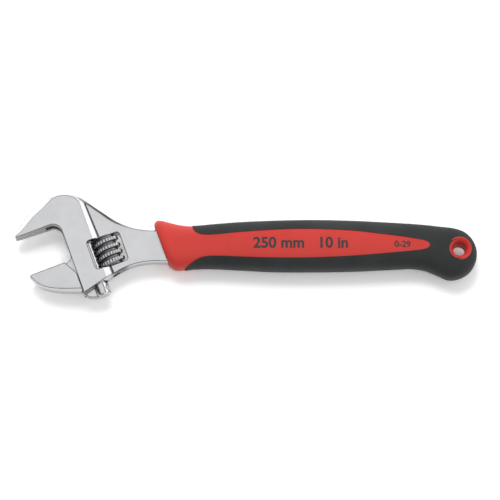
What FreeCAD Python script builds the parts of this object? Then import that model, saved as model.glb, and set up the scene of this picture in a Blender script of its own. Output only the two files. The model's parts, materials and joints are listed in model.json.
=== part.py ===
import FreeCAD, Part
import math
import os

# Adjustable wrench with a two-material handle, in millimetres.
#
# Working frame: X runs along the handle from the jaws to the hang hole, Y points towards the
# fixed jaw's back, Z = 0 is the plane that halves the forging. Y = 0 is the handle's centre line.
# Head frame: u runs out along the jaws and v along the jaw's travel, both from the inner corner
# where the fixed jaw's face meets the throat wall.
# At the end everything is moved so that the origin is the middle of the bounding box's underside.

V = FreeCAD.Vector
Z_AXIS = V(0, 0, 1)

# ---- head ----
HEAD_ANGLE = 20.0            # jaws lean this far from square to the handle
JAW_CORNER = V(0.3, 12.6, 0)
HEAD_HALF = 6.4              # half thickness of the head
TIP_HALF = 4.0               # half thickness at the jaw tips
JAW_REACH = 26.0             # throat wall to jaw tip
WALL_HALF = 2.4              # half height of the forging's upright outer wall
SHANK_HALF = 4.0             # half thickness of the shank
STEP_U = -14.4               # head's thick part ends here, with a slope down to the shank
THROAT_RADIUS = 5.5

# ---- jaw opening and rack ----
OPENING = 23.3               # distance between the jaw faces as modelled
PITCH = 4.0                  # worm pitch and rack pitch
ROD_U = -10.0                # axis of the movable jaw's rod
ROD_RADIUS = 4.4
ROD_TOP = -7.2               # rod's ends, measured from the movable jaw's face
ROD_END = 24.1
WEB_HALF = 2.5
RACK_ROOT_U = -12.4
SLIDE_GAP = 0.25             # clearance between the movable jaw and the forging

# ---- worm ----
WORM_U = -20.6
CREST_RADIUS = 7.6
ROOT_RADIUS = 5.7
CREST_HALF = 0.85            # half width of the thread at its crest and at its root
ROOT_HALF = 1.45
THREAD_V = 20.3              # v of one thread crest on the side facing the rack
FLANK_GAP = 0.25
WINDOW = (-29.5, -10.5, 16.0, 33.3)     # u and v limits of the worm's window
WINDOW_RADIUS = 1.8
WORM_END_GAP = 0.15
PIN_RADIUS = 1.98
PIN_FIT = 0.08               # radial running clearance of the worm on its pin
PIN_TOP_V = 11.5
PIN_END_V = 37.2
SPRING_BORE_RADIUS = 3.4
SPRING_BORE_DEPTH = 6.0
SPRING_WIRE = 0.6            # side of the spring's square wire
SPRING_COIL_RADIUS = 2.75
SPRING_TURNS = 4.5

# ---- handle ----
HOLE_CENTRE = V(223.2, -3.0, 0)
HOLE_RADIUS = 3.4
FLARE_START = 3.75           # the bore is straight up to this height on both sides of the mid-plane
EYELET_RADIUS = 6.25
EYELET_NECK = 5.2
EYELET_TOP = 7.5             # height of the eyelet's two rims above the mid-plane
TANG_HALF = 3.2
TANG_WIDTH = 15.0
TANG_START = 60.0
GRIP_FRONT_U = -49.3         # slanted front face of the grip, parallel to the jaw's travel
GRIP_SIDE_SKIN = 3.0         # soft layer's thickness at the sides
GRIP_FACE_SKIN = 1.4         # and on the two faces

# Sections of the grip: x, top edge, bottom edge, half thickness and superellipse exponent
GRIP_SECTIONS = [
    (50.0, 14.9, -13.0, 7.6, 2.5),
    (57.0, 14.8, -13.6, 8.0, 2.5),
    (62.0, 13.5, -14.0, 8.2, 2.5),
    (68.0, 12.1, -14.2, 8.2, 2.5),
    (75.0, 11.5, -13.2, 8.0, 2.5),
    (85.0, 12.3, -12.9, 8.2, 2.5),
    (100.0, 13.5, -13.6, 8.8, 2.5),
    (120.0, 14.4, -14.6, 9.2, 2.5),
    (142.0, 14.8, -14.7, 9.3, 2.5),
    (165.0, 14.3, -14.3, 9.0, 2.5),
    (185.0, 13.3, -13.4, 8.3, 2.5),
    (197.0, 12.6, -12.95, 7.9, 2.5),
    (205.0, 11.9, -14.3, 7.7, 2.6),
    (212.0, 11.1, -17.2, 7.6, 2.9),
    (218.0, 10.3, -19.2, 7.6, 3.2),
    (223.0, 9.3, -18.4, 7.6, 3.4),
    (227.5, 7.2, -15.9, 7.4, 3.4),
    (231.0, 3.4, -12.3, 6.6, 3.0),
    (233.2, -1.6, -7.2, 3.6, 2.5),
]

HEAD_FRAME = FreeCAD.Placement(JAW_CORNER, FreeCAD.Rotation(Z_AXIS, 180 + HEAD_ANGLE))
TRAVEL = HEAD_FRAME.Rotation.multVec(V(0, 1, 0))


def head(u, v, z=0.0):
    """Working-frame point for a head-frame point."""
    return HEAD_FRAME.multVec(V(u, v, z))


def in_head_frame(shape):
    """Carry a shape built in the head frame over to the working frame."""
    return shape.transformed(HEAD_FRAME.toMatrix())


def both_faces(shape):
    """The shape together with its mirror image on the wrench's other face."""
    return [shape, shape.mirror(V(0, 0, 0), Z_AXIS)]


def edge_at(kind, points, z):
    spots = [V(p[0], p[1], z) for p in points]
    if kind == "line":
        return Part.makeLine(spots[0], spots[1])
    if kind == "arc":
        return Part.Arc(spots[0], spots[1], spots[2]).toShape()
    curve = Part.BSplineCurve()
    curve.interpolate(spots)
    return curve.toShape()


def wire_at(outline, z):
    """Closed wire at height z from a list of (kind, points) segments."""
    return Part.Wire([edge_at(kind, points, z) for kind, points in outline])


def bevelled_slab(outline, face_outline, wall_half, half):
    """Slab with upright walls up to wall_half and a bevel from there to the smaller face outline."""
    wall = Part.Face(wire_at(outline, -wall_half)).extrude(V(0, 0, 2 * wall_half))
    bevel = Part.makeLoft([wire_at(outline, wall_half), wire_at(face_outline, half)], True, True)
    return wall.fuse(both_faces(bevel)).removeSplitter()


def polygon_prism(points, direction):
    """Prism from a closed polygon of vectors, extruded along a vector."""
    return Part.Face(Part.makePolygon(points + [points[0]])).extrude(direction)


def taper_cutters(v_low, v_high):
    """Wedges, in the head frame, that thin the jaws from the throat out to the tips."""
    slope = (HEAD_HALF - TIP_HALF) / JAW_REACH
    out = JAW_REACH + 4
    high = HEAD_HALF + 4
    profile = [
        V(0, v_low, HEAD_HALF),
        V(out, v_low, HEAD_HALF - slope * out),
        V(out, v_low, high),
        V(0, v_low, high),
    ]
    return both_faces(polygon_prism(profile, V(0, v_high - v_low, 0)))


# ---------------------------------------------------------------- forging

def body_outlines():
    """Outer outline of head and shank, and the outline of its bevels carried up to head height."""
    tip_face = head(25.6, 0)
    throat_out = head(THROAT_RADIUS, 0)
    throat_in = head(0, THROAT_RADIUS)
    reach = THROAT_RADIUS * (1 - math.sqrt(0.5))
    throat = [
        ("line", [tip_face, throat_out]),
        ("arc", [throat_out, head(reach, reach), throat_in]),
    ]
    corner = head(0, 44.2)
    outer = throat + [
        ("line", [throat_in, corner]),
        ("line", [corner, (28.0, -19.9)]),
        ("curve", [(28.0, -19.9), (35.0, -14.9), (42.0, -11.8), (49.0, -10.2), (56.0, -9.9)]),
        ("line", [(56.0, -9.9), (64.0, -9.9)]),
        ("line", [(64.0, -9.9), (64.0, 8.6)]),
        ("line", [(64.0, 8.6), (54.0, 8.7)]),
        ("curve", [(54.0, 8.7), (47.0, 9.1), (40.5, 10.4), (34.5, 12.5), (28.5, 16.0)]),
        ("line", [(28.5, 16.0), (11.5, 27.7)]),
        ("curve", [(11.5, 27.7), (8.0, 29.1), (3.5, 29.7), (-1.5, 29.1), (-6.3, 27.0),
                   (-12.0, 22.9), (-17.2, 17.4), (-21.5, 10.7), (-24.3, 4.9)]),
        ("line", [(-24.3, 4.9), tip_face]),
    ]
    face_corner = head(0, 43.3)
    tip_back = head(22.6, -0.9)
    inner = throat + [
        ("line", [throat_in, face_corner]),
        ("line", [face_corner, (27.6, -19.1)]),
        ("curve", [(27.6, -19.1), (34.2, -13.7), (41.5, -10.5), (48.8, -8.9), (56.0, -8.6)]),
        ("line", [(56.0, -8.6), (64.0, -8.6)]),
        ("line", [(64.0, -8.6), (64.0, 6.4)]),
        ("line", [(64.0, 6.4), (54.0, 6.5)]),
        ("curve", [(54.0, 6.5), (46.5, 6.9), (39.5, 8.0), (32.8, 9.9), (25.8, 12.9)]),
        ("line", [(25.8, 12.9), (9.9, 25.5)]),
        ("curve", [(9.9, 25.5), (7.4, 27.1), (3.6, 27.9), (-0.8, 27.3), (-4.9, 24.6),
                   (-8.8, 19.7), (-13.2, 14.4), (-17.3, 8.3), tip_back]),
        ("line", [tip_back, tip_face]),
    ]
    return outer, inner


def step_cutters():
    """Material above the shank: starts at the step and slopes down, wider towards the shank's near side."""
    def profile(v, base_u):
        far = -70.0
        high = HEAD_HALF + 4
        over_u = STEP_U + (STEP_U - base_u) * 4 / (HEAD_HALF - SHANK_HALF)
        points = [V(over_u, v, high), V(base_u, v, SHANK_HALF), V(far, v, SHANK_HALF), V(far, v, high)]
        return Part.makePolygon(points + [points[0]])
    cutter = Part.makeLoft([profile(-20.0, STEP_U - 2.4), profile(48.0, STEP_U - 5.6)], True, True)
    return both_faces(cutter)


def window_cutter():
    """Rounded rectangular window for the worm, through both faces."""
    u0, u1, v0, v1 = WINDOW
    box = Part.makeBox(u1 - u0, v1 - v0, 20, V(u0, v0, -10))
    upright = [e for e in box.Edges if abs(e.tangentAt(e.FirstParameter).z) > 0.9]
    return box.makeFillet(WINDOW_RADIUS, upright)


def channel_cutter():
    """Round channel for the rod and the slot through the throat wall for the web."""
    depth = 60.0
    top_v = -8.2
    slot_top = -3.6
    slot_half = WEB_HALF + SLIDE_GAP
    channel = Part.makeCylinder(ROD_RADIUS + SLIDE_GAP, depth, V(ROD_U, top_v, 0), V(0, 1, 0))
    slot = Part.makeBox(8 - ROD_U, depth, 2 * slot_half, V(ROD_U, slot_top, -slot_half))
    return channel.fuse(slot)


def tang():
    """Flat bar inside the grip, ending in a ring round the hang hole."""
    half = TANG_WIDTH / 2
    ring_radius = 8.0
    bar_points = [V(TANG_START, -half, -TANG_HALF), V(TANG_START, half, -TANG_HALF),
                  V(HOLE_CENTRE.x, HOLE_CENTRE.y + half - 1, -TANG_HALF),
                  V(HOLE_CENTRE.x, HOLE_CENTRE.y - half + 1, -TANG_HALF)]
    bar = polygon_prism(bar_points, V(0, 0, 2 * TANG_HALF))
    ring = Part.makeCylinder(ring_radius, 2 * TANG_HALF, HOLE_CENTRE - V(0, 0, TANG_HALF))
    return bar.fuse(ring)


def make_body():
    outer, inner = body_outlines()
    blank = bevelled_slab(outer, inner, WALL_HALF, HEAD_HALF)
    blank = blank.cut([in_head_frame(c) for c in taper_cutters(-40, 12)])
    blank = blank.cut([in_head_frame(c) for c in step_cutters()])
    pin_hole = Part.makeCylinder(PIN_RADIUS + 0.02, 60, V(WORM_U, PIN_TOP_V - 0.3, 0), V(0, 1, 0))
    cutters = [window_cutter(), channel_cutter(), pin_hole]
    blank = blank.cut([in_head_frame(c) for c in cutters])
    tang_hole = Part.makeCylinder(EYELET_NECK, 40, HOLE_CENTRE - V(0, 0, 20))
    return blank.fuse(tang()).cut(tang_hole)


# ---------------------------------------------------------------- movable jaw

def jaw_outlines():
    """Outline of the movable jaw in the head frame, with its face at v = 0."""
    back = SLIDE_GAP
    outer = [
        ("line", [(4.6, 0), (25.1, 0)]),
        ("line", [(25.1, 0), (25.4, 0.9)]),
        ("curve", [(25.4, 0.9), (24.3, 3.4), (22.2, 7.0), (18.1, 10.6), (13.6, 13.2), (9.0, 15.2)]),
        ("line", [(9.0, 15.2), (back, 18.5)]),
        ("line", [(back, 18.5), (back, 7.9)]),
        ("line", [(back, 7.9), (4.6, 0)]),
    ]
    inner = [
        ("line", [(4.6, 0), (23.6, 0)]),
        ("line", [(23.6, 0), (23.8, 0.9)]),
        ("curve", [(23.8, 0.9), (23.0, 2.8), (21.0, 6.1), (17.4, 9.4), (13.1, 11.9), (8.6, 14.0)]),
        ("line", [(8.6, 14.0), (back, 17.3)]),
        ("line", [(back, 17.3), (back, 7.9)]),
        ("line", [(back, 7.9), (4.6, 0)]),
    ]
    return outer, inner


def jaw_web():
    """Thin plate between the jaw and the rod, with a hollow curve up to the jaw's face."""
    outline = [
        ("line", [(9.0, 2.0), (5.2, 0)]),
        ("arc", [(5.2, 0), (1.6, -0.9), (0.0, -2.6)]),
        ("line", [(0.0, -2.6), (ROD_U + 2, -3.0)]),
        ("line", [(ROD_U + 2, -3.0), (ROD_U + 2, ROD_END)]),
        ("line", [(ROD_U + 2, ROD_END), (-6.0, ROD_END)]),
        ("line", [(-6.0, ROD_END), (-2.0, 22.6)]),
        ("line", [(-2.0, 22.6), (2.0, 17.0)]),
        ("line", [(2.0, 17.0), (9.0, 12.0)]),
        ("line", [(9.0, 12.0), (9.0, 2.0)]),
    ]
    return Part.Face(wire_at(outline, -WEB_HALF)).extrude(V(0, 0, 2 * WEB_HALF))


def rack_groove(v):
    """Slanted straight groove that clears one turn of the worm's thread at v."""
    lean = PITCH / (2 * math.pi * (CREST_RADIUS + ROOT_RADIUS) / 2)
    flank = (ROOT_HALF - CREST_HALF) / (CREST_RADIUS - ROOT_RADIUS)
    reach = 6.0
    outer_u = ROD_U - ROD_RADIUS - 1

    def half_width(u):
        return CREST_HALF + flank * (CREST_RADIUS - (u - WORM_U)) + FLANK_GAP

    low = v + lean * reach
    points = [
        V(RACK_ROOT_U, low - half_width(RACK_ROOT_U), -reach),
        V(RACK_ROOT_U, low + half_width(RACK_ROOT_U), -reach),
        V(outer_u, low + half_width(outer_u), -reach),
        V(outer_u, low - half_width(outer_u), -reach),
    ]
    return polygon_prism(points, V(0, -2 * lean * reach, 2 * reach))


def make_jaw():
    outer, inner = jaw_outlines()
    jaw = bevelled_slab(outer, inner, WALL_HALF, HEAD_HALF).cut(taper_cutters(-5, 30))
    rod = Part.makeCylinder(ROD_RADIUS, ROD_END - ROD_TOP, V(ROD_U, ROD_TOP, 0), V(0, 1, 0))
    end_rims = [e for e in rod.Edges if e.Curve.TypeId == "Part::GeomCircle"]
    rod = rod.makeChamfer(0.6, end_rims)
    shape = jaw.fuse([jaw_web(), rod])
    first = THREAD_V - OPENING
    count = int((ROD_END - ROD_TOP) // PITCH) + 1
    grooves = [rack_groove(first + PITCH * (i - 1)) for i in range(count + 1)]
    shape = shape.cut(grooves)
    shape.translate(V(0, OPENING, 0))
    return in_head_frame(shape)


# ---------------------------------------------------------------- worm, pin and spring

def threaded_bar(start_v, turns):
    """Root bar with a right-hand thread round the head frame's v axis; a crest faces the rack at start_v."""
    sink = 0.4
    grow = sink * (ROOT_HALF - CREST_HALF) / (CREST_RADIUS - ROOT_RADIUS)
    helix = Part.makeHelix(PITCH, turns * PITCH, ROOT_RADIUS)
    profile = Part.makePolygon([
        V(ROOT_RADIUS - sink, 0, -ROOT_HALF - grow),
        V(CREST_RADIUS, 0, -CREST_HALF),
        V(CREST_RADIUS, 0, CREST_HALF),
        V(ROOT_RADIUS - sink, 0, ROOT_HALF + grow),
        V(ROOT_RADIUS - sink, 0, -ROOT_HALF - grow),
    ])
    thread = Part.Wire(helix.Edges).makePipeShell([profile], True, True)
    root = Part.makeCylinder(ROOT_RADIUS, (turns + 2) * PITCH, V(0, 0, -PITCH))
    bar = root.fuse(thread)
    bar.rotate(V(0, 0, 0), V(1, 0, 0), -90)
    bar.translate(V(WORM_U, start_v, 0))
    return bar


def make_worm():
    """Length of threaded bar that fills the window, bored for its pin and, at one end, for the spring."""
    v0 = WINDOW[2] + WORM_END_GAP
    v1 = WINDOW[3] - WORM_END_GAP
    low = V(WORM_U, v0, 0)
    along = V(0, 1, 0)
    limits = Part.makeCylinder(CREST_RADIUS + 1, v1 - v0, low, along)
    bore = Part.makeCylinder(PIN_RADIUS + PIN_FIT, v1 - v0, low, along)
    pocket_v = v1 - SPRING_BORE_DEPTH
    pocket = Part.makeCylinder(SPRING_BORE_RADIUS, SPRING_BORE_DEPTH, V(WORM_U, pocket_v, 0), along)
    worm = threaded_bar(THREAD_V - 2 * PITCH, 7).common(limits)
    return in_head_frame(worm.cut([bore, pocket]))


def make_pin():
    """Plain pin with a screwdriver slot in the end that shows at the head's lower edge."""
    pin = Part.makeCylinder(PIN_RADIUS, PIN_END_V - PIN_TOP_V, V(WORM_U, PIN_TOP_V, 0), V(0, 1, 0))
    slot_depth = 1.0
    slot_half = 0.35
    slot = Part.makeBox(10, slot_depth, 2 * slot_half, V(WORM_U - 5, PIN_END_V - slot_depth, -slot_half))
    return in_head_frame(pin.cut(slot))


def make_spring():
    """Small coil round the pin, inside the worm's pocket, that keeps the worm from turning by itself."""
    end_gap = 0.5
    low = WINDOW[3] - WORM_END_GAP - SPRING_BORE_DEPTH + end_gap
    height = WINDOW[3] - end_gap - low
    helix = Part.makeHelix(height / SPRING_TURNS, height, SPRING_COIL_RADIUS)
    half = SPRING_WIRE / 2
    wire = Part.makePolygon([
        V(SPRING_COIL_RADIUS - half, 0, -half),
        V(SPRING_COIL_RADIUS + half, 0, -half),
        V(SPRING_COIL_RADIUS + half, 0, half),
        V(SPRING_COIL_RADIUS - half, 0, half),
        V(SPRING_COIL_RADIUS - half, 0, -half),
    ])
    coil = Part.Wire(helix.Edges).makePipeShell([wire], True, True)
    coil.rotate(V(0, 0, 0), V(1, 0, 0), -90)
    coil.translate(V(WORM_U, low, 0))
    return in_head_frame(coil)


# ---------------------------------------------------------------- grip

def section(x, top, bottom, half, power, steps=20):
    """Closed superellipse wire across the handle at x."""
    middle = (top + bottom) / 2
    wide = (top - bottom) / 2

    def bulge(value):
        return math.copysign(abs(value) ** (2 / power), value)

    points = []
    for i in range(steps):
        angle = 2 * math.pi * i / steps
        points.append(V(x, middle + wide * bulge(math.cos(angle)), half * bulge(math.sin(angle))))
    curve = Part.BSplineCurve()
    curve.interpolate(points, PeriodicFlag=True)
    return Part.Wire(curve.toShape())


def grip_solid(sections):
    return Part.makeLoft([section(*row) for row in sections], True, False)


def grip_outer():
    """Whole grip, both materials, with its slanted front face."""
    front = Part.makeBox(60, 160, 60, V(GRIP_FRONT_U, -80, -30))
    return grip_solid(GRIP_SECTIONS).cut(in_head_frame(front))


def red_zone():
    """Upright prism that holds the collar and the panels of hard plastic."""
    reach = 22.0
    outline = [
        ("line", [(40.0, reach), (74.8, reach)]),
        ("line", [(74.8, reach), (74.6, 11.0)]),
        ("curve", [(74.6, 11.0), (75.9, 7.3), (79.6, 5.2), (85.0, 4.8), (111.8, 7.0),
                   (136.0, 8.0), (165.0, 6.9), (191.7, 3.7), (203.0, 1.8)]),
        ("arc", [(203.0, 1.8), (206.8, -0.9), (203.5, -3.6)]),
        ("curve", [(203.5, -3.6), (181.7, -5.9), (150.0, -8.2), (126.0, -8.6), (101.8, -7.9),
                   (84.5, -7.4), (78.0, -8.7), (73.2, -12.0), (70.6, -16.0)]),
        ("line", [(70.6, -16.0), (70.4, -reach)]),
        ("line", [(70.4, -reach), (40.0, -reach)]),
        ("line", [(40.0, -reach), (40.0, reach)]),
    ]
    return Part.Face(wire_at(outline, -15)).extrude(V(0, 0, 30))


def inner_grip():
    """Hard plastic under the soft layer."""
    rows = []
    for x, top, bottom, half, power in GRIP_SECTIONS[2:-2]:
        rows.append((x, top - GRIP_SIDE_SKIN, bottom + GRIP_SIDE_SKIN, half - GRIP_FACE_SKIN, power))
    return grip_solid(rows)


def eyelet_blank(rim_top):
    """Eyelet without its bore: a neck that widens to a rim at both faces."""
    rim_start = 5.4
    neck = Part.makeCylinder(EYELET_NECK, 2 * rim_start, HOLE_CENTRE - V(0, 0, rim_start))
    rim = Part.makeCylinder(EYELET_RADIUS, rim_top - rim_start, HOLE_CENTRE + V(0, 0, rim_start))
    return neck.fuse(both_faces(rim))


def make_eyelet(blank):
    """Eyelet with a straight bore that flares out at both faces."""
    flare_z = FLARE_START
    top_z = EYELET_TOP
    flare_r = HOLE_RADIUS + 2.3
    middle = V(HOLE_RADIUS + 0.7, 0, flare_z + 2.3)
    profile = Part.Wire([
        Part.makeLine(V(0, 0, -flare_z), V(HOLE_RADIUS, 0, -flare_z)),
        Part.makeLine(V(HOLE_RADIUS, 0, -flare_z), V(HOLE_RADIUS, 0, flare_z)),
        Part.Arc(V(HOLE_RADIUS, 0, flare_z), middle, V(flare_r, 0, top_z)).toShape(),
        Part.makeLine(V(flare_r, 0, top_z), V(flare_r, 0, top_z + 2)),
        Part.makeLine(V(flare_r, 0, top_z + 2), V(0, 0, top_z + 2)),
        Part.makeLine(V(0, 0, top_z + 2), V(0, 0, -flare_z)),
    ])
    cutter = Part.Face(profile).revolve(V(0, 0, 0), Z_AXIS, 360)
    cutter.translate(HOLE_CENTRE)
    return blank.cut(both_faces(cutter))


def make_grip(body, eyelet_room):
    outer = grip_outer()
    zone = red_zone()
    inner = inner_grip().cut(in_head_frame(Part.makeBox(60, 160, 60, V(GRIP_FRONT_U, -80, -30))))
    core = outer.common(zone).fuse(inner).cut([body, eyelet_room])
    soft = outer.cut([zone, inner, body, eyelet_room])
    return core, soft


# ---------------------------------------------------------------- output

def main():
    os.makedirs("parts", exist_ok=True)
    body = make_body()
    blank = eyelet_blank(EYELET_TOP)
    core, soft = make_grip(body, eyelet_blank(12.0))
    nodes = {
        "wrench_body": body,
        "movable_jaw": make_jaw(),
        "worm": make_worm(),
        "worm_pin": make_pin(),
        "worm_spring": make_spring(),
        "grip_core": core,
        "grip_overmold": soft,
        "hang_hole_eyelet": make_eyelet(blank),
    }
    box = FreeCAD.BoundBox()
    for shape in nodes.values():
        box.add(shape.optimalBoundingBox())
    shift = V(-(box.XMin + box.XMax) / 2, -(box.YMin + box.YMax) / 2, -box.ZMin)
    for name, shape in nodes.items():
        shape.translate(shift)
        print(name, shape.isValid(), len(shape.Solids), round(shape.Volume / 1000, 3), "cm3")
        shape.exportStep("parts/" + name + ".step")
    print("size", box.XLength, box.YLength, box.ZLength)
    print("shift", tuple(shift))
    print("travel", tuple(TRAVEL))
    print("worm centre", tuple(head(WORM_U, (WINDOW[2] + WINDOW[3]) / 2) + shift))
    print("jaw face", tuple(head(JAW_REACH / 2, OPENING) + shift))
    print("hang hole", tuple(HOLE_CENTRE + shift))


main()
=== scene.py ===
"""Adjustable wrench: the finishes of its steel parts, its knurled worm, its handle and its studio."""

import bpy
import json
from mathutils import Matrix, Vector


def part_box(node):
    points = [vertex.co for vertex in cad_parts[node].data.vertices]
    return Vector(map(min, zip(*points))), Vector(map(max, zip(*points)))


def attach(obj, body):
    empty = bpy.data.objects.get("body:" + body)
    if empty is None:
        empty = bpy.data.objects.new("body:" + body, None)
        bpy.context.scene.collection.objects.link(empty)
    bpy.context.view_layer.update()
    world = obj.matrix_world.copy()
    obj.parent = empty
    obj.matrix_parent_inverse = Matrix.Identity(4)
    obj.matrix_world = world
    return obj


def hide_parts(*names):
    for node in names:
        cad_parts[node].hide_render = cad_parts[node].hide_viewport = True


bl_info = {
    "name": "Adjustable Wrench",
    "version": (1, 0, 0),
    "blender": (4, 5, 0),
    "location": "3D View > Sidebar > Wrench",
    "description": "Adds the looks of an adjustable wrench to its packed model",
    "category": "Add Mesh",
}

import json
import math

import bmesh
import bpy
import numpy as np
from bpy.props import FloatProperty, FloatVectorProperty, IntProperty, PointerProperty, StringProperty
from mathutils import Vector

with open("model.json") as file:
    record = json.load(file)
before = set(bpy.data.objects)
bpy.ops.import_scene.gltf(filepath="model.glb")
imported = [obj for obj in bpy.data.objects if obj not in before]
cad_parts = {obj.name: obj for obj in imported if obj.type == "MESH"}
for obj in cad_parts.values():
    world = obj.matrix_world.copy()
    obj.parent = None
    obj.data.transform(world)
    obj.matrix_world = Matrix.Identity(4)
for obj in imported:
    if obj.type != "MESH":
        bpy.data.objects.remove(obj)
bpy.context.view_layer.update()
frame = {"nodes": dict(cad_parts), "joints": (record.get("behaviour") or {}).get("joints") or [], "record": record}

MM = 0.001

# The handle is laid out in millimetres: x from the jaws to the hang hole, y towards the fixed
# jaw's back, z = 0 halfway between the two faces.
HOLE_CENTRE = Vector((223.2, -3.0, 0.0))
ORIGIN = sum(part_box("hang_hole_eyelet"), Vector()) / 2 - HOLE_CENTRE * MM

WORM_JOINT = next(j for j in frame["joints"] if j["name"] == "worm_turn")
JAW_JOINT = next(j for j in frame["joints"] if j["name"] == "jaw_slide")
FIXED_FACE = next(m for m in frame["record"]["mounts"] if m["name"] == "fixed_jaw_face")
TRAVEL = Vector(JAW_JOINT["axis"])
TOWARD_HANDLE = Vector((abs(TRAVEL.y), abs(TRAVEL.x), 0))

# Greys painted on the steel: dark reflection lines along its edges and shade in the step's crease, and shade on
# the walls of the worm's window
EDGE_SHADE_GREY = (0.022, 0.022, 0.024)
WINDOW_SHADE_GREY = (0.05, 0.05, 0.052)

# The black sleeve's hole round the eyelet, and how close two points must lie to be joined after a cut
HOLE_CUT = 5.7 * MM
CUT_GAP = 3e-6

# Height of a capital in the built-in font, as a share of the text's size
CAPITAL = 0.72

# Where the camera looks, in the handle's own millimetres
AIM = Vector((106.8, -2.13, 0.0))

# x, top edge, bottom edge, half thickness and superellipse exponent of the handle's sections
GRIP_SECTIONS = np.array([
    (50.0, 14.9, -13.0, 7.6, 2.5),
    (57.0, 14.8, -13.6, 8.0, 2.5),
    (62.0, 13.5, -14.0, 8.2, 2.5),
    (68.0, 12.1, -14.2, 8.2, 2.5),
    (75.0, 11.5, -13.2, 8.0, 2.5),
    (85.0, 12.3, -12.9, 8.2, 2.5),
    (100.0, 13.5, -13.6, 8.8, 2.5),
    (120.0, 14.4, -14.6, 9.2, 2.5),
    (142.0, 14.8, -14.7, 9.3, 2.5),
    (165.0, 14.3, -14.3, 9.0, 2.5),
    (185.0, 13.3, -13.4, 8.3, 2.5),
    (197.0, 12.6, -12.95, 7.9, 2.5),
    (205.0, 11.9, -14.3, 7.7, 2.6),
    (212.0, 11.0, -17.2, 7.6, 2.9),
    (218.0, 10.1, -19.1, 7.6, 3.2),
    (240.0, 9.0, -18.0, 7.6, 3.4),
])
END_CENTRE = (218.6, -4.7)
END_START = 205
END_RADIUS = 14.6

# Where the soft sleeve ends on the hard core: round the collar, and along the two panels
PANEL_EDGE = [
    (76.9, 6.35), (79.6, 5.2), (85.0, 4.8), (98.0, 5.95), (111.8, 7.0), (124.0, 7.75), (136.0, 8.0),
    (150.0, 7.75), (165.0, 6.9), (178.0, 5.4), (191.7, 3.7), (199.0, 2.55), (203.6, 1.65),
    (206.0, 0.5), (206.8, -0.9), (206.0, -2.4), (203.6, -3.45),
    (199.0, -4.2), (181.7, -5.9), (166.0, -7.3), (150.0, -8.2), (137.0, -8.6), (126.0, -8.6), (113.0, -8.35),
    (101.8, -7.9), (92.0, -7.45), (84.5, -7.4), (80.2, -8.0), (77.2, -9.2),
]
COLLAR_EDGE_TOP = [(76.9, 6.35), (75.7, 7.6), (75.0, 9.2), (74.7, 10.6), (74.6, 11.55)]
COLLAR_EDGE_BOTTOM = [(77.2, -9.2), (75.2, -10.6), (73.3, -12.0), (71.7, -13.2), (70.6, -13.9)]


# ---------------------------------------------------------------- settings

class WrenchSizes(bpy.types.PropertyGroup):
    """Sizes of the pieces that are shaped here."""

    core_depth: FloatProperty(
        name="Core depth", description="How far the hard core lies under the sleeve's surface",
        default=0.0003, unit="LENGTH")
    collar_round: FloatProperty(
        name="Collar face rounding", description="Rounding of the collar's front edge at the two faces",
        default=0.0018, unit="LENGTH")
    collar_corner: FloatProperty(
        name="Collar corner rounding", description="Rounding of the collar's front corners in plan",
        default=0.0042, unit="LENGTH")
    sleeve_wall: FloatProperty(
        name="Sleeve wall", description="Thickness of the soft sleeve",
        default=0.0009, unit="LENGTH")
    knurl_teeth: IntProperty(
        name="Knurl teeth", description="Knurl teeth round the worm",
        default=26, min=12)
    knurl_depth: FloatProperty(
        name="Knurl depth", description="Depth of the worm's knurl",
        default=0.0007, unit="LENGTH")
    size_text: StringProperty(
        name="Size mark", description="Size printed on the handle's panel",
        default="250 mm   10 in")
    size_height: FloatProperty(
        name="Size mark height", description="Height of the size mark's figures",
        default=0.0062, unit="LENGTH")
    range_text: StringProperty(
        name="Range mark", description="Smallest and largest opening in millimetres",
        default="0-29")
    range_height: FloatProperty(
        name="Range mark height", description="Height of the range mark's figures",
        default=0.0036, unit="LENGTH")


class WrenchColours(bpy.types.PropertyGroup):
    """Colours of the finishes, as linear values."""

    chrome: FloatVectorProperty(
        name="Chrome", description="Reflection colour of the chrome plate",
        default=(0.785, 0.79, 0.805), size=3, subtype="COLOR")
    worm: FloatVectorProperty(
        name="Worm", description="Reflection colour of the worm",
        default=(0.86, 0.86, 0.88), size=3, subtype="COLOR")
    ground_steel: FloatVectorProperty(
        name="Ground steel", description="Reflection colour of the jaws' ground faces",
        default=(0.33, 0.33, 0.335), size=3, subtype="COLOR")
    pin: FloatVectorProperty(
        name="Pin", description="Reflection colour of the pin and the spring",
        default=(0.50, 0.50, 0.51), size=3, subtype="COLOR")
    red: FloatVectorProperty(
        name="Red", description="Colour of the hard plastic",
        default=(0.475, 0.030, 0.023), size=3, subtype="COLOR")
    soft: FloatVectorProperty(
        name="Soft black", description="Colour of the soft sleeve",
        default=(0.014, 0.016, 0.016), size=3, subtype="COLOR")
    print_ink: FloatVectorProperty(
        name="Ink", description="Colour of the printed size mark",
        default=(0.02, 0.02, 0.022), size=3, subtype="COLOR")
    floor: FloatVectorProperty(
        name="Floor", description="Colour of the studio floor",
        default=(0.93, 0.93, 0.93), size=3, subtype="COLOR")


class WrenchStudio(bpy.types.PropertyGroup):
    """Camera and lights."""

    elevation: FloatProperty(
        name="Elevation", description="Height angle of the camera over the floor",
        default=math.radians(75.0), subtype="ANGLE", unit="ROTATION")
    distance: FloatProperty(
        name="Distance", description="From the camera to the middle of the wrench",
        default=1.5, unit="LENGTH")
    lens: FloatProperty(
        name="Lens", description="Focal length on a 36 mm sensor, in millimetres",
        default=193.7)
    key_power: FloatProperty(
        name="Key light", description="Power of the large light behind the wrench",
        default=13.4, unit="POWER")
    fill_power: FloatProperty(
        name="Top light", description="Power of the light overhead",
        default=4.0, unit="POWER")
    sky: FloatProperty(
        name="Surroundings", description="Brightness of the studio's surroundings",
        default=1.0)


# ---------------------------------------------------------------- shading

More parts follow.
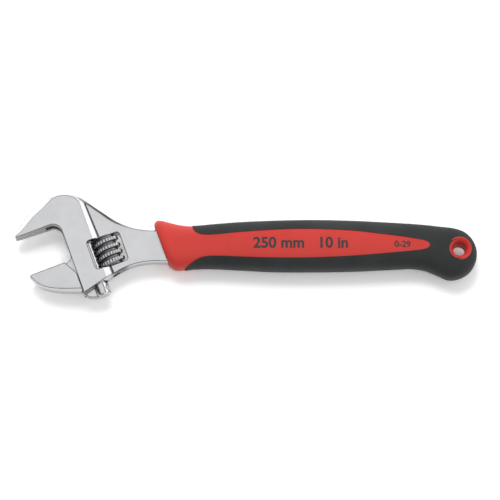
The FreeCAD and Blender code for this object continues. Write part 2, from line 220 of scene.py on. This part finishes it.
class Value:
    """A number in a node tree; arithmetic on it adds Math nodes."""

    def __init__(self, finish, socket):
        self.finish = finish
        self.socket = socket

    def math(self, operation, *values):
        node = self.finish.node("Math", {"operation": operation}, dict(enumerate(values)))
        return Value(self.finish, node.outputs[0])

    def __add__(self, other):
        return self.math("ADD", self, other)

    def __radd__(self, other):
        return self.math("ADD", other, self)

    def __sub__(self, other):
        return self.math("SUBTRACT", self, other)

    def __rsub__(self, other):
        return self.math("SUBTRACT", other, self)

    def __mul__(self, other):
        return self.math("MULTIPLY", self, other)

    def __rmul__(self, other):
        return self.math("MULTIPLY", other, self)

    def __abs__(self):
        return self.math("ABSOLUTE", self)

    def max(self, other):
        return self.math("MAXIMUM", self, other)

    def step(self, low, high):
        """0 below low, 1 above high, and a smooth rise between."""
        node = self.finish.node("MapRange", {"interpolation_type": "SMOOTHSTEP"}, {
            "Value": self, "From Min": low, "From Max": high, "To Min": 0.0, "To Max": 1.0})
        return Value(self.finish, node.outputs["Result"])


class Finish:
    """A node tree under construction."""

    def __init__(self, tree):
        self.tree = tree
        tree.nodes.clear()

    def feed(self, socket, value):
        if isinstance(value, Value):
            value = value.socket
        if isinstance(value, bpy.types.NodeSocket):
            self.tree.links.new(value, socket)
        elif socket.type == "RGBA" and len(value) == 3:
            socket.default_value = (*value, 1.0)
        else:
            socket.default_value = value

    def node(self, kind, settings=None, inputs=None):
        """Add a node, set its settings first, then its sockets."""
        node = self.tree.nodes.new("ShaderNode" + kind)
        for name, value in (settings or {}).items():
            setattr(node, name, value)
        for name, value in (inputs or {}).items():
            self.feed(node.inputs[name], value)
        return node

    def value(self, kind, output, settings=None, inputs=None):
        return Value(self, self.node(kind, settings, inputs).outputs[output])

    def vector(self, operation, *values, output="Vector"):
        """Vector Math node; its number result is the output called Value."""
        return self.node("VectorMath", {"operation": operation}, dict(enumerate(values))).outputs[output]

    def along(self, direction, point):
        """How far a point lies along a direction, or how much a direction agrees with another."""
        return Value(self, self.vector("DOT_PRODUCT", point, direction, output="Value"))

    def mix(self, mask, low, high):
        """Colour that is low where the mask is 0 and high where it is 1."""
        node = self.node("Mix", {"data_type": "RGBA"}, {"Factor": mask})
        self.feed(node.inputs[6], low)
        self.feed(node.inputs[7], high)
        return node.outputs[2]

    def place(self):
        """Position in the piece's own metres."""
        return self.node("TexCoord").outputs["Object"]

    def facing(self, direction):
        """How much the surface faces a direction of the piece, from -1 to 1."""
        return self.along(direction, self.node("TexCoord").outputs["Normal"])

    def edge(self, radius):
        """0 away from sharp edges, and rising to about 0.3 on a square edge."""
        rounded = self.node("Bevel", {"samples": 8}, {"Radius": radius}).outputs["Normal"]
        normal = self.node("NewGeometry").outputs["Normal"]
        return 1 - self.along(normal, rounded)

    def noise(self, scale, detail=3.0, roughness=0.5, stretch=(1, 1, 1)):
        at = self.vector("MULTIPLY", self.place(), stretch)
        return self.value("TexNoise", "Fac", None, {
            "Vector": at, "Scale": scale, "Detail": detail, "Roughness": roughness})

    def bump(self, height, strength, distance):
        inputs = {"Height": height, "Strength": strength, "Distance": distance}
        return self.node("Bump", None, inputs).outputs["Normal"]

    def surface(self, **sockets):
        """Principled surface; socket names are written with underscores."""
        shader = self.node("BsdfPrincipled", None, {
            name.replace("_", " "): value for name, value in sockets.items()})
        self.tree.links.new(shader.outputs[0], self.node("OutputMaterial").inputs["Surface"])


def new_finish(name):
    material = bpy.data.materials.new(name)
    material.use_nodes = True
    return material, Finish(material.node_tree)


def chrome_plate(name, colours, with_fixed_face):
    """Satin chrome on the flat faces, painted shade on the walls, painted dark reflection lines along the edges,
    and a ground jaw face; on the forging also painted shade in the worm's window and in the step's crease.
    """
    material, f = new_finish(name)
    chrome = tuple(colours.chrome)
    level = abs(f.facing((0, 0, 1)))
    flat = level.step(0.93, 0.985)
    wall = 1 - level.step(0.50, 0.62)
    cloud = f.noise(90, 4, 0.6)
    grain = f.noise(5200, 2, 0.6)
    lines = f.noise(700, 3, 0.6, stretch=(0.12, 1.0, 1.0))
    ground = f.facing(tuple(TRAVEL) if with_fixed_face else tuple(-TRAVEL)).step(0.985, 0.997)
    # Painted dark reflection lines along the steel's sharp edges
    rim = f.edge(0.9 * MM).step(0.010, 0.05)
    satin = f.mix(cloud.step(0.3, 0.7), tuple(0.93 * c for c in chrome), chrome)
    colour = f.mix(flat, chrome, satin)
    # Painted shade: the steep walls take a darker chrome than the faces
    colour = f.mix(wall, colour, tuple(0.62 * c for c in chrome))
    if with_fixed_face:
        depth = f.along(tuple(TRAVEL), f.vector("SUBTRACT", f.place(), tuple(FIXED_FACE["pos_m"])))
        ground = ground * (1 - depth.step(0.5 * MM, 1.0 * MM))
        # Painted shade on the walls round the worm, inside its window
        reach = Value(f, f.vector("DISTANCE", f.place(), tuple(WORM_JOINT["pos_m"]), output="Value"))
        window_shade = wall * (1 - reach.step(13.5 * MM, 15.5 * MM))
        colour = f.mix(window_shade * 0.8, colour, WINDOW_SHADE_GREY)
        height = abs(f.along((0, 0, 1), f.place()) - ORIGIN.z)
        # Painted shade in the crease at the foot of the sloped step, added to the painted edge lines
        step_foot_shade = f.facing(tuple(TOWARD_HANDLE)).step(0.2, 0.35) * (1 - height.step(4.4 * MM, 5.0 * MM))
        crease_shade = step_foot_shade * (1 - wall)
        rim = rim + crease_shade * (1 - rim)
    # The painted edge lines and crease shade go on in a dark grey
    colour = f.mix(rim * 0.95, colour, EDGE_SHADE_GREY)
    colour = f.mix(ground, colour, tuple(colours.ground_steel))
    roughness = 0.13 + flat * (0.14 + 0.05 * cloud) + ground * 0.12 + 0.05 * lines
    relief = f.bump(grain * flat + 0.6 * lines, 0.12, 0.02 * MM)
    f.surface(Base_Color=colour, Metallic=1.0, Roughness=roughness, Normal=relief)
    return material


def worm_plate(name, colours):
    """Plated worm: bright crests, and rougher valleys darkened with painted shade."""
    material, f = new_finish(name)
    offset = f.vector("SUBTRACT", f.place(), tuple(WORM_JOINT["pos_m"]))
    across = f.vector("CROSS_PRODUCT", offset, tuple(WORM_JOINT["axis"]))
    radius = Value(f, f.vector("LENGTH", across, output="Value"))
    crest = radius.step(0.0068, 0.00755)
    cloud = f.noise(260, 4, 0.6)
    # Painted shade: the valleys get a much darker colour than the crests
    valley_shade = tuple(0.30 * c for c in colours.worm)
    colour = f.mix(crest * (0.75 + 0.25 * cloud), valley_shade, tuple(colours.worm))
    f.surface(Base_Color=colour, Metallic=1.0, Roughness=0.36 - 0.22 * crest + 0.06 * cloud,
              Normal=f.bump(f.noise(3000, 2, 0.5), 0.15, 0.02 * MM))
    return material


def turned_steel(name, colours):
    material, f = new_finish(name)
    cloud = f.noise(400, 4, 0.6)
    colour = f.mix(cloud.step(0.35, 0.65), tuple(0.8 * c for c in colours.pin), tuple(colours.pin))
    f.surface(Base_Color=colour, Metallic=1.0, Roughness=0.26 + 0.12 * cloud,
              Normal=f.bump(f.noise(2500, 3, 0.5), 0.2, 0.02 * MM))
    return material


def hard_plastic(name, colour):
    """Satin moulded plastic with a fine even texture."""
    material, f = new_finish(name)
    cloud = f.noise(60, 3, 0.55)
    grain = f.noise(4200, 2, 0.5)
    pale = tuple(min(1.0, 1.02 * c + 0.001) for c in colour)
    deep = tuple(0.975 * c for c in colour)
    f.surface(Base_Color=f.mix(cloud.step(0.35, 0.65), deep, pale),
              Roughness=0.42 + 0.10 * grain + 0.04 * cloud,
              Specular_IOR_Level=0.45, Normal=f.bump(grain, 0.22, 0.03 * MM))
    return material


def soft_rubber(name, colour):
    """Matte soft rubber with moulding grain and a little dust."""
    material, f = new_finish(name)
    cloud = f.noise(45, 4, 0.6)
    grain = f.noise(3600, 3, 0.55)
    speck = f.noise(900, 2, 0.5).step(0.62, 0.78)
    pale = tuple(1.25 * c + 0.004 for c in colour)
    tone = f.mix(cloud.step(0.3, 0.7), tuple(colour), pale)
    tone = f.mix(speck * 0.25, tone, tuple(1.8 * c for c in colour))
    f.surface(Base_Color=tone, Roughness=0.62 + 0.12 * grain, Specular_IOR_Level=0.45,
              Normal=f.bump(grain, 0.35, 0.05 * MM))
    return material


def print_ink(name, colour):
    material, f = new_finish(name)
    cover = f.noise(1500, 3, 0.6)
    tone = f.mix(cover.step(0.2, 0.9), tuple(colour), tuple(1.8 * c for c in colour))
    f.surface(Base_Color=tone, Roughness=0.5 + 0.1 * cover)
    return material


# ---------------------------------------------------------------- shapes

def place_points(points):
    """Metres in the model's frame for handle points in millimetres."""
    return [(ORIGIN.x + x * MM, ORIGIN.y + y * MM, ORIGIN.z + z * MM) for x, y, z in points]


def curve_through(xs, rows, at):
    """Smooth values at positions along a table of rows."""
    rows = np.asarray(rows, float)
    tangents = np.empty_like(rows)
    tangents[1:-1] = (rows[2:] - rows[:-2]) / (xs[2:] - xs[:-2])[:, None]
    tangents[0] = (rows[1] - rows[0]) / (xs[1] - xs[0])
    tangents[-1] = (rows[-1] - rows[-2]) / (xs[-1] - xs[-2])
    at = np.clip(np.atleast_1d(at), xs[0], xs[-1])
    i = np.clip(np.searchsorted(xs, at) - 1, 0, len(xs) - 2)
    gap = (xs[i + 1] - xs[i])[:, None]
    t = ((at - xs[i])[:, None]) / gap
    return ((2 * t**3 - 3 * t**2 + 1) * rows[i] + (t**3 - 2 * t**2 + t) * gap * tangents[i]
            + (3 * t**2 - 2 * t**3) * rows[i + 1] + (t**3 - t**2) * gap * tangents[i + 1])


def grip_section(x):
    """Top edge, bottom edge, half thickness and exponent of the handle at x."""
    return curve_through(GRIP_SECTIONS[:, 0], GRIP_SECTIONS[:, 1:], x)


def polyline(points, spacing):
    """Smooth curve through points as evenly spaced points, with the length along it."""
    points = np.asarray(points, float)
    along = np.concatenate([[0], np.cumsum(np.hypot(*np.diff(points, axis=0).T))])
    fine = curve_through(along, points, np.linspace(0, along[-1], 3000))
    length = np.concatenate([[0], np.cumsum(np.hypot(*np.diff(fine, axis=0).T))])
    stations = np.linspace(0, length[-1], max(2, int(length[-1] / spacing) + 1))
    return np.stack([np.interp(stations, length, fine[:, k]) for k in (0, 1)], 1), stations


def side_outline():
    """The handle's outline in plan, from the collar's top round the end to the collar's bottom."""
    top = [(x, y) for x, y in GRIP_SECTIONS[:14, :2]]
    bottom = [(x, y) for x, y in GRIP_SECTIONS[:14, [0, 2]]][::-1]
    turn = [math.radians(a) for a in (80, 60, 40, 20, 0, -20, -40, -60, -80, -98)]
    end = [(END_CENTRE[0] + END_RADIUS * math.cos(a), END_CENTRE[1] + END_RADIUS * math.sin(a)) for a in turn]
    return polyline(top + end + bottom, 0.25)[0]


OUTLINE = side_outline()


def face_height(points):
    """Height of the handle's surface over its mid-plane at points in plan."""
    points = np.atleast_2d(points)
    gap = np.empty(len(points))
    for start in range(0, len(points), 2000):
        part = points[start:start + 2000]
        gap[start:start + 2000] = np.sqrt(((part[:, None] - OUTLINE[None]) ** 2).sum(2)).min(1)
    rows = grip_section(points[:, 0])
    width = (rows[:, 0] - rows[:, 1]) / 2
    blend = np.clip((points[:, 0] - END_START) / (END_CENTRE[0] - END_START), 0, 1)
    width = width * (1 - blend) + END_RADIUS * blend
    ratio = np.clip(1 - gap / width, 0, 1)
    return rows[:, 2] * np.clip(1 - ratio ** rows[:, 3], 0, 1) ** (1 / rows[:, 3])


def clean_mesh(mesh, gap, close):
    """Join points closer than the gap, drop faces without area, close holes and turn faces outward."""
    build = bmesh.new()
    build.from_mesh(mesh)
    bmesh.ops.remove_doubles(build, verts=build.verts, dist=gap)
    bmesh.ops.dissolve_degenerate(build, edges=build.edges, dist=gap)
    if close:
        bmesh.ops.holes_fill(build, edges=[e for e in build.edges if e.is_boundary], sides=12)
    bmesh.ops.recalc_face_normals(build, faces=build.faces)
    build.to_mesh(mesh)
    build.free()


def mesh_object(name, vertices, faces, material):
    mesh = bpy.data.meshes.new(name)
    mesh.from_pydata(vertices, [], faces)
    mesh.materials.append(material)
    clean_mesh(mesh, 1e-7, False)
    mesh.polygons.foreach_set("use_smooth", [True] * len(mesh.polygons))
    piece = bpy.data.objects.new(name, mesh)
    bpy.context.scene.collection.objects.link(piece)
    return piece


def apply_modifiers(piece):
    """Turn a piece's modifiers into its mesh."""
    bpy.context.view_layer.update()
    mesh = bpy.data.meshes.new_from_object(piece.evaluated_get(bpy.context.evaluated_depsgraph_get()))
    piece.modifiers.clear()
    piece.data = mesh


def lathe(name, profile, centre, axis, count, material):
    """Closed ring from a profile of (radius, along) points turned about an axis, in metres."""
    axis = Vector(axis).normalized()
    side = axis.orthogonal().normalized()
    other = axis.cross(side)
    vertices = []
    for i in range(count):
        turn = 2 * math.pi * i / count
        out = side * math.cos(turn) + other * math.sin(turn)
        vertices += [Vector(centre) + out * radius + axis * along for radius, along in profile]
    size = len(profile)
    faces = []
    for i in range(count):
        for j in range(size):
            a, b = i * size, ((i + 1) % count) * size
            faces.append((a + j, b + j, b + (j + 1) % size, a + (j + 1) % size))
    return mesh_object(name, vertices, faces, material)


def cut_with(piece, tool, operation):
    """Boolean a piece with a tool that is removed afterwards."""
    cut = piece.modifiers.new("cut", "BOOLEAN")
    cut.operation = operation
    cut.object = tool
    cut.solver = "EXACT"
    apply_modifiers(piece)
    clean_mesh(piece.data, CUT_GAP, True)
    bpy.data.objects.remove(tool)


# ---------------------------------------------------------------- worm

def thread_strip(teeth, depth):
    """Vertices and faces of a long threaded bar round Z, in millimetres, open at both ends."""
    pitch = 4.0
    crest = [(-0.86, 7.42, 0.4), (-0.70, 7.6, 1.0), (-0.24, 7.6, 1.0), (0.24, 7.6, 1.0), (0.70, 7.6, 1.0),
             (0.86, 7.42, 0.4)]
    valley = [(1.40, 5.86, 0.0), (1.55, 5.72, 0.0), (2.0, 5.7, 0.0), (2.45, 5.72, 0.0), (2.60, 5.86, 0.0)]
    profile = crest + valley
    turns = 7
    steps = teeth * 4
    groove = (0.0, 0.55, 1.0, 0.55)
    vertices = []
    for k in range(turns * steps + 1):
        turn = 2 * math.pi * k / steps
        for along, radius, share in profile:
            r = radius - depth * groove[k % 4] * share
            vertices.append((r * math.cos(turn), r * math.sin(turn), along + pitch * k / steps))
    size = len(profile)
    faces = []
    for k in range((turns - 1) * steps):
        for j in range(size):
            here, there = k * size, (k + 1) * size
            if j + 1 < size:
                faces.append((here + j, there + j, there + j + 1, here + j + 1))
            else:
                faces.append((here + j, there + j, there + steps * size, here + steps * size))
    low = [k * size for k in range(steps + 1)] + [j for j in range(size - 1, 0, -1)]
    last = (turns - 1) * steps
    high = [(last + k) * size for k in range(steps + 1)] + [last * size + j for j in range(size - 1, 0, -1)]
    for loop, z in ((low, -pitch), (high, turns * pitch)):
        vertices.append((0, 0, z))
        hub = len(vertices) - 1
        faces += [(loop[i], loop[(i + 1) % len(loop)], hub) for i in range(len(loop))]
    return vertices, faces


class WRENCH_OT_add_worm(bpy.types.Operator):
    """Add the knurled worm in place of its plain solid"""

    bl_idname = "wrench.add_worm"
    bl_label = "Worm"

    def execute(self, context):
        sizes, colours = context.scene.wrench_sizes, context.scene.wrench_colours
        vertices, faces = thread_strip(sizes.knurl_teeth, sizes.knurl_depth / MM)
        worm_axis = -Vector(WORM_JOINT["axis"])
        centre = Vector(WORM_JOINT["pos_m"])
        up = Vector((0, 0, 1))
        side = up.cross(worm_axis)
        # The bar's fourth crest faces the rack, and lies 4.35 mm before the middle of the worm
        fourth_crest, before_middle = 12.0, 4.35
        shift = -before_middle - fourth_crest
        toward_rack = -side if side.dot(Vector((1, 0, 0))) > 0 else side
        other = worm_axis.cross(toward_rack)
        placed = [centre + (toward_rack * x + other * y + worm_axis * (z + shift)) * MM
                  for x, y, z in vertices]
        worm = mesh_object("knurled_worm", placed, faces, worm_plate("worm_plate", colours))
        half, bore, spring_bore, spring_depth = 8.5, 2.06, 3.4, 6.0
        profile = [(bore, -half), (6.9, -half), (8.4, -half + 0.9), (8.4, half - 0.9), (6.9, half),
                   (spring_bore, half), (spring_bore, half - spring_depth), (bore, half - spring_depth)]
        limits = lathe("worm_limits", [(r * MM, a * MM) for r, a in profile], centre, worm_axis, 96,
                       worm.data.materials[0])
        cut_with(worm, limits, "INTERSECT")
        if len(worm.data.polygons) < 5000:
            raise RuntimeError("the worm's thread was lost")
        worm.modifiers.new("shading", "WEIGHTED_NORMAL")
        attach(worm, "worm")
        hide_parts("worm")
        return {"FINISHED"}


# ---------------------------------------------------------------- steel

def dress(node, material):
    """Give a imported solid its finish."""
    for slot in frame["nodes"][node].material_slots:
        slot.material = material


class WRENCH_OT_finish_steel(bpy.types.Operator):
    """Chrome the forging and the movable jaw, and finish the pin and its spring"""

    bl_idname = "wrench.finish_steel"
    bl_label = "Forging, jaw, pin and spring"

    def execute(self, context):
        colours = context.scene.wrench_colours
        dress("wrench_body", chrome_plate("forging_chrome", colours, True))
        dress("movable_jaw", chrome_plate("jaw_chrome", colours, False))
        steel = turned_steel("turned_steel", colours)
        dress("worm_pin", steel)
        dress("worm_spring", steel)
        return {"FINISHED"}


# ---------------------------------------------------------------- handle

def superellipse(angle, power):
    c, s = math.cos(angle), math.sin(angle)
    return math.copysign(abs(c) ** (2 / power), c), math.copysign(abs(s) ** (2 / power), s)


def core_ring(x_middle, slant, side_inset, face_inset, count):
    """One ring round the hard core; slant is how fast its x falls as y grows."""
    ring = []
    for i in range(count):
        y = 0.0
        for _ in range(4):
            x = x_middle - slant * y
            top, bottom, half, power = grip_section(x)[0]
            across, height = superellipse(2 * math.pi * (i + 0.5) / count, power)
            y = (top + bottom) / 2 + ((top - bottom) / 2 - side_inset) * across
        ring.append((x_middle - slant * y, y, (half - face_inset) * height))
    return ring


class WRENCH_OT_add_core(bpy.types.Operator):
    """Add the hard red core: the collar and the two panels"""

    bl_idname = "wrench.add_core"
    bl_label = "Hard core"

    def execute(self, context):
        sizes, colours = context.scene.wrench_sizes, context.scene.wrench_colours
        depth, rounding, corner = (
            v / MM for v in (sizes.core_depth, sizes.collar_round, sizes.collar_corner))
        front, slant, count = 57.35, 0.364, 96
        rings = [core_ring(front, slant, depth + corner + inset, depth + rounding + inset, count)
                 for inset in (5.0, 3.6, 2.0, 0.8)]
        for i in range(9):
            turn = math.pi / 2 * i / 8
            cut = 1 - math.sin(turn)
            rings.append(core_ring(front + corner * (1 - math.cos(turn)), slant,
                                   depth + corner * cut, depth + rounding * cut, count))
        # The rings lean like the collar at first, and stand square from lean_end on
        x, lean_start, lean_end, core_end = front + corner, 62, 88, 211
        while x < core_end:
            x += 0.9 if x < lean_end else 2.0
            t = min(1, max(0, (x - lean_start) / (lean_end - lean_start)))
            rings.append(core_ring(x, slant * (1 - t * t * (3 - 2 * t)), depth, depth, count))
        vertices = [p for ring in rings for p in ring]
        faces = []
        for r in range(len(rings) - 1):
            for i in range(count):
                a, b = r * count, (r + 1) * count
                faces.append((a + i, a + (i + 1) % count, b + (i + 1) % count, b + i))
        for ring, first in ((rings[0], 0), (rings[-1], (len(rings) - 1) * count)):
            hub = np.mean(ring, axis=0)
            vertices.append(tuple(hub))
            faces += [(first + i, first + (i + 1) % count, len(vertices) - 1) for i in range(count)]
        plastic = hard_plastic("red_plastic", colours.red)
        core = mesh_object("hard_core", place_points(vertices), faces, plastic)
        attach(core, "wrench")
        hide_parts("grip_core")
        return {"FINISHED"}


def sleeve_rows():
    """Grid of plan points over one face of the sleeve: columns run from its inner edge to the side."""
    outer, outer_length = polyline(OUTLINE, 1.25)
    start = np.argmin(np.hypot(*(outer - (74.6, 11.55)).T))
    end = np.argmin(np.hypot(*(outer - (70.6, -13.9)).T))
    outer = outer[start:end + 1]
    outer_length = outer_length[start:end + 1] - outer_length[start]
    inner, inner_length = polyline(PANEL_EDGE, 0.1)

    def nearest(points, length, x, y):
        return length[np.argmin(np.hypot(points[:, 0] - x, points[:, 1] - y))]

    # Points on the side line, each with the point of the panel's edge that a row joins it to
    pairs = [((74.6, 11.55), (76.9, 6.35)), ((79.0, 11.9), (81.0, 4.9)), ((95.0, 13.1), (95.0, 5.7)),
             ((142.0, 14.8), (142.0, 8.0)), ((190.0, 13.0), (190.0, 3.9)),
             ((208.0, 11.6), (203.6, 1.65)), ((224.0, 8.9), (206.0, 0.5)),
             ((233.2, -4.7), (206.8, -0.9)), ((224.0, -18.2), (206.0, -2.4)),
             ((208.0, -15.6), (203.6, -3.45)), ((190.0, -13.1), (190.0, -5.1)),
             ((142.0, -14.7), (142.0, -8.5)), ((95.0, -13.4), (95.0, -7.5)),
             ((77.5, -13.0), (82.0, -7.6)), ((70.6, -13.9), (77.2, -9.2))]
    outer_marks = np.array([nearest(outer, outer_length, *a) for a, b in pairs])
    inner_marks = np.array([nearest(inner, inner_length, *b) for a, b in pairs])
    spots = curve_through(outer_marks, inner_marks[:, None], outer_length)[:, 0]
    edge = np.stack([np.interp(spots, inner_length, inner[:, k]) for k in (0, 1)], 1)
    steps = 1 - (1 - np.linspace(0, 1, 15)) ** 2.2
    grid = edge[:, None] * (1 - steps)[None, :, None] + outer[:, None] * steps[None, :, None]
    for side, collar in ((1, COLLAR_EDGE_TOP), (-1, COLLAR_EDGE_BOTTOM)):
        line, length = polyline(collar, 0.05)
        bent = np.stack([np.interp(steps * length[-1], length, line[:, k]) for k in (0, 1)], 1)
        first = 0 if side == 1 else len(grid) - 1
        lean = bent - grid[first]
        for k in range(12):
            grid[first + side * k] += lean * (1 - k / 12) ** 2
    return grid


class WRENCH_OT_add_sleeve(bpy.types.Operator):
    """Add the soft black sleeve over the core, with its hang hole"""

    bl_idname = "wrench.add_sleeve"
    bl_label = "Soft sleeve"

    def execute(self, context):
        sizes, colours = context.scene.wrench_sizes, context.scene.wrench_colours
        grid = sleeve_rows()
        columns, rows = grid.shape[:2]
        height = face_height(grid.reshape(-1, 2)).reshape(columns, rows)
        height[:, -1] = 0
        vertices, faces = [], []
        for c in range(columns):
            vertices += [(*grid[c, r], height[c, r]) for r in range(rows)]
            vertices += [(*grid[c, r], -height[c, r]) for r in range(rows - 2, -1, -1)]
        size = 2 * rows - 1
        for c in range(columns - 1):
            for r in range(size - 1):
                a, b = c * size + r, (c + 1) * size + r
                faces.append((a, b, b + 1, a + 1))
        rubber = soft_rubber("soft_black", colours.soft)
        sleeve = mesh_object("soft_sleeve", place_points(vertices), faces, rubber)
        shell = sleeve.modifiers.new("wall", "SOLIDIFY")
        shell.thickness = sizes.sleeve_wall
        shell.offset = -1
        shell.use_rim = True
        apply_modifiers(sleeve)
        hole = ORIGIN + HOLE_CENTRE * MM
        hub, reach = 0.1 * MM, 20 * MM
        plug = lathe("hole_plug", [(hub, -reach), (HOLE_CUT, -reach), (HOLE_CUT, reach), (hub, reach)],
                     hole, (0, 0, 1), 64, sleeve.data.materials[0])
        cut_with(sleeve, plug, "DIFFERENCE")
        sleeve.data.set_sharp_from_angle(angle=math.radians(50))
        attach(sleeve, "wrench")
        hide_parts("grip_overmold")
        return {"FINISHED"}


class WRENCH_OT_add_eyelet(bpy.types.Operator):
    """Add the red eyelet that lines the hang hole"""

    bl_idname = "wrench.add_eyelet"
    bl_label = "Hang hole eyelet"

    def execute(self, context):
        colours = context.scene.wrench_colours
        half = [(3.40, 3.2), (3.42, 3.9), (3.57, 4.6), (3.90, 5.35), (4.36, 6.05), (4.92, 6.65), (5.55, 7.1),
                (6.05, 7.36), (6.30, 7.45), (6.46, 7.43), (6.6, 7.3), (6.65, 7.05), (6.62, 6.7), (6.2, 6.2),
                (5.5, 5.9), (5.2, 5.6)]
        profile = [(r, -z) for r, z in reversed(half)] + half
        centre = ORIGIN + HOLE_CENTRE * MM
        eyelet = lathe("hang_eyelet", [(r * MM, z * MM) for r, z in profile], centre, (0, 0, 1), 96,
                       hard_plastic("eyelet_plastic", colours.red))
        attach(eyelet, "wrench")
        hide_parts("hang_hole_eyelet")
        return {"FINISHED"}


def printed_text(name, body, height, middle, material):
    """Figures printed on the panel: middle is in millimetres, and the print is a hair proud."""
    text = bpy.data.curves.new(name, "FONT")
    text.body = body
    text.align_x = "CENTER"
    text.align_y = "CENTER"
    text.offset = 0.028
    text.extrude = 0.008
    text.resolution_u = 6
    holder = bpy.data.objects.new(name + "_text", text)
    bpy.context.scene.collection.objects.link(holder)
    bpy.context.view_layer.update()
    mesh = bpy.data.meshes.new_from_object(holder.evaluated_get(bpy.context.evaluated_depsgraph_get()))
    bpy.data.objects.remove(holder)
    scale = height / MM / CAPITAL
    flat = np.array([v.co for v in mesh.vertices]) * scale + (*middle, 0.0)
    sizes = bpy.context.scene.wrench_sizes
    flat[:, 2] += face_height(flat[:, :2]) - sizes.core_depth / MM + 0.01
    mark = mesh_object(name, place_points(flat), [tuple(p.vertices) for p in mesh.polygons], material)
    mark.data.polygons.foreach_set("use_smooth", [False] * len(mark.data.polygons))
    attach(mark, "wrench")


class WRENCH_OT_add_marks(bpy.types.Operator):
    """Print the wrench's size and its opening on the panel"""

    bl_idname = "wrench.add_marks"
    bl_label = "Size and range marks"

    def execute(self, context):
        sizes, colours = context.scene.wrench_sizes, context.scene.wrench_colours
        ink = print_ink("black_ink", colours.print_ink)
        printed_text("size_mark", sizes.size_text, sizes.size_height, (135.0, -0.4), ink)
        printed_text("range_mark", sizes.range_text, sizes.range_height, (191.5, -0.9), ink)
        return {"FINISHED"}


# ---------------------------------------------------------------- studio

def area_light(name, at, toward, size, power):
    data = bpy.data.lights.new(name, "AREA")
    data.shape = "RECTANGLE"
    data.size, data.size_y = size
    data.energy = power
    lamp = bpy.data.objects.new(name, data)
    lamp.location = at
    lamp.visible_glossy = False
    lamp.rotation_euler = (Vector(toward) - Vector(at)).to_track_quat("-Z", "Y").to_euler()
    bpy.context.scene.collection.objects.link(lamp)


class WRENCH_OT_set_stage(bpy.types.Operator):
    """Set the pale floor, the soft lights and the camera"""

    bl_idname = "wrench.set_stage"
    bl_label = "Studio"

    def execute(self, context):
        studio, colours = context.scene.wrench_studio, context.scene.wrench_colours
        paper, f = new_finish("paper")
        cloud = f.noise(3, 2, 0.5)
        f.surface(Base_Color=f.mix(cloud, tuple(0.995 * c for c in colours.floor), tuple(colours.floor)),
                  Roughness=0.9, Specular_IOR_Level=0.1, Emission_Color=(1, 1, 1), Emission_Strength=0.13)
        span = 3.0
        rim = [(-span, -span, 0), (span, -span, 0), (span, span, 0), (-span, span, 0)]
        floor = mesh_object("floor", rim, [(0, 1, 2, 3)], paper)
        floor.data.polygons[0].use_smooth = False

        world = bpy.data.worlds.new("studio")
        world.use_nodes = True
        context.scene.world = world
        w = Finish(world.node_tree)
        direction = w.node("TexCoord").outputs["Generated"]
        rise = w.along((0, 0, 1), direction)
        side = w.along((1, 0, 0), direction)
        back = w.along((0, 1, 0), direction)
        over = rise.step(0.74, 0.88)
        right = side.step(0.3, 0.7)
        edge = 0.30 + 0.34 * right.max(back.step(0.3, 0.8))
        under = 1 - ((rise - edge) * 6).step(0.0, 1.0)
        low = 0.36 + 0.90 * back.step(-0.1, 0.4).max(right)
        shade = over * 0.825 + under * low + 0.06
        light = w.node("Background", None, {"Color": (1, 1, 1), "Strength": shade * studio.sky})
        w.tree.links.new(light.outputs[0], w.node("OutputWorld").inputs["Surface"])

        area_light("key", (-0.20, 0.74, 1.31), (0, 0, 0), (0.85, 0.55), studio.key_power)
        area_light("top", (0.1, -0.5, 1.5), (0, 0, 0), (0.9, 0.5), studio.fill_power)

        aim = ORIGIN + AIM * MM
        away = Vector((0, -math.cos(studio.elevation), math.sin(studio.elevation)))
        data = bpy.data.cameras.new("camera")
        data.lens = studio.lens
        data.sensor_width = 36.0
        camera = bpy.data.objects.new("camera", data)
        camera.location = aim + away * studio.distance
        camera.rotation_euler = (math.pi / 2 - studio.elevation, 0, 0)
        context.scene.collection.objects.link(camera)
        context.scene.camera = camera
        context.scene.view_settings.view_transform = "Standard"
        return {"FINISHED"}


# ---------------------------------------------------------------- add-on

class WRENCH_PT_pieces(bpy.types.Panel):
    """The wrench's pieces and studio in the sidebar"""

    bl_idname = "WRENCH_PT_pieces"
    bl_label = "Adjustable Wrench"
    bl_space_type = "VIEW_3D"
    bl_region_type = "UI"
    bl_category = "Wrench"

    def draw(self, context):
        column = self.layout.column()
        for operator in OPERATORS:
            column.operator(operator.bl_idname)
        for group in (context.scene.wrench_sizes, context.scene.wrench_colours, context.scene.wrench_studio):
            box = self.layout.box()
            for name in group.__annotations__:
                box.prop(group, name)


GROUPS = {"wrench_sizes": WrenchSizes, "wrench_colours": WrenchColours, "wrench_studio": WrenchStudio}
OPERATORS = (WRENCH_OT_finish_steel, WRENCH_OT_add_worm, WRENCH_OT_add_core, WRENCH_OT_add_sleeve,
             WRENCH_OT_add_eyelet, WRENCH_OT_add_marks, WRENCH_OT_set_stage)


def register():
    for cls in (*GROUPS.values(), *OPERATORS, WRENCH_PT_pieces):
        bpy.utils.register_class(cls)
    for name, cls in GROUPS.items():
        setattr(bpy.types.Scene, name, PointerProperty(type=cls))


def unregister():
    for name in GROUPS:
        delattr(bpy.types.Scene, name)
    for cls in (WRENCH_PT_pieces, *reversed(OPERATORS), *GROUPS.values()):
        bpy.utils.unregister_class(cls)


def main():
    register()
    for operator in OPERATORS:
        group, name = operator.bl_idname.split(".")
        getattr(getattr(bpy.ops, group), name)()


if __name__ == "__main__":
    main()
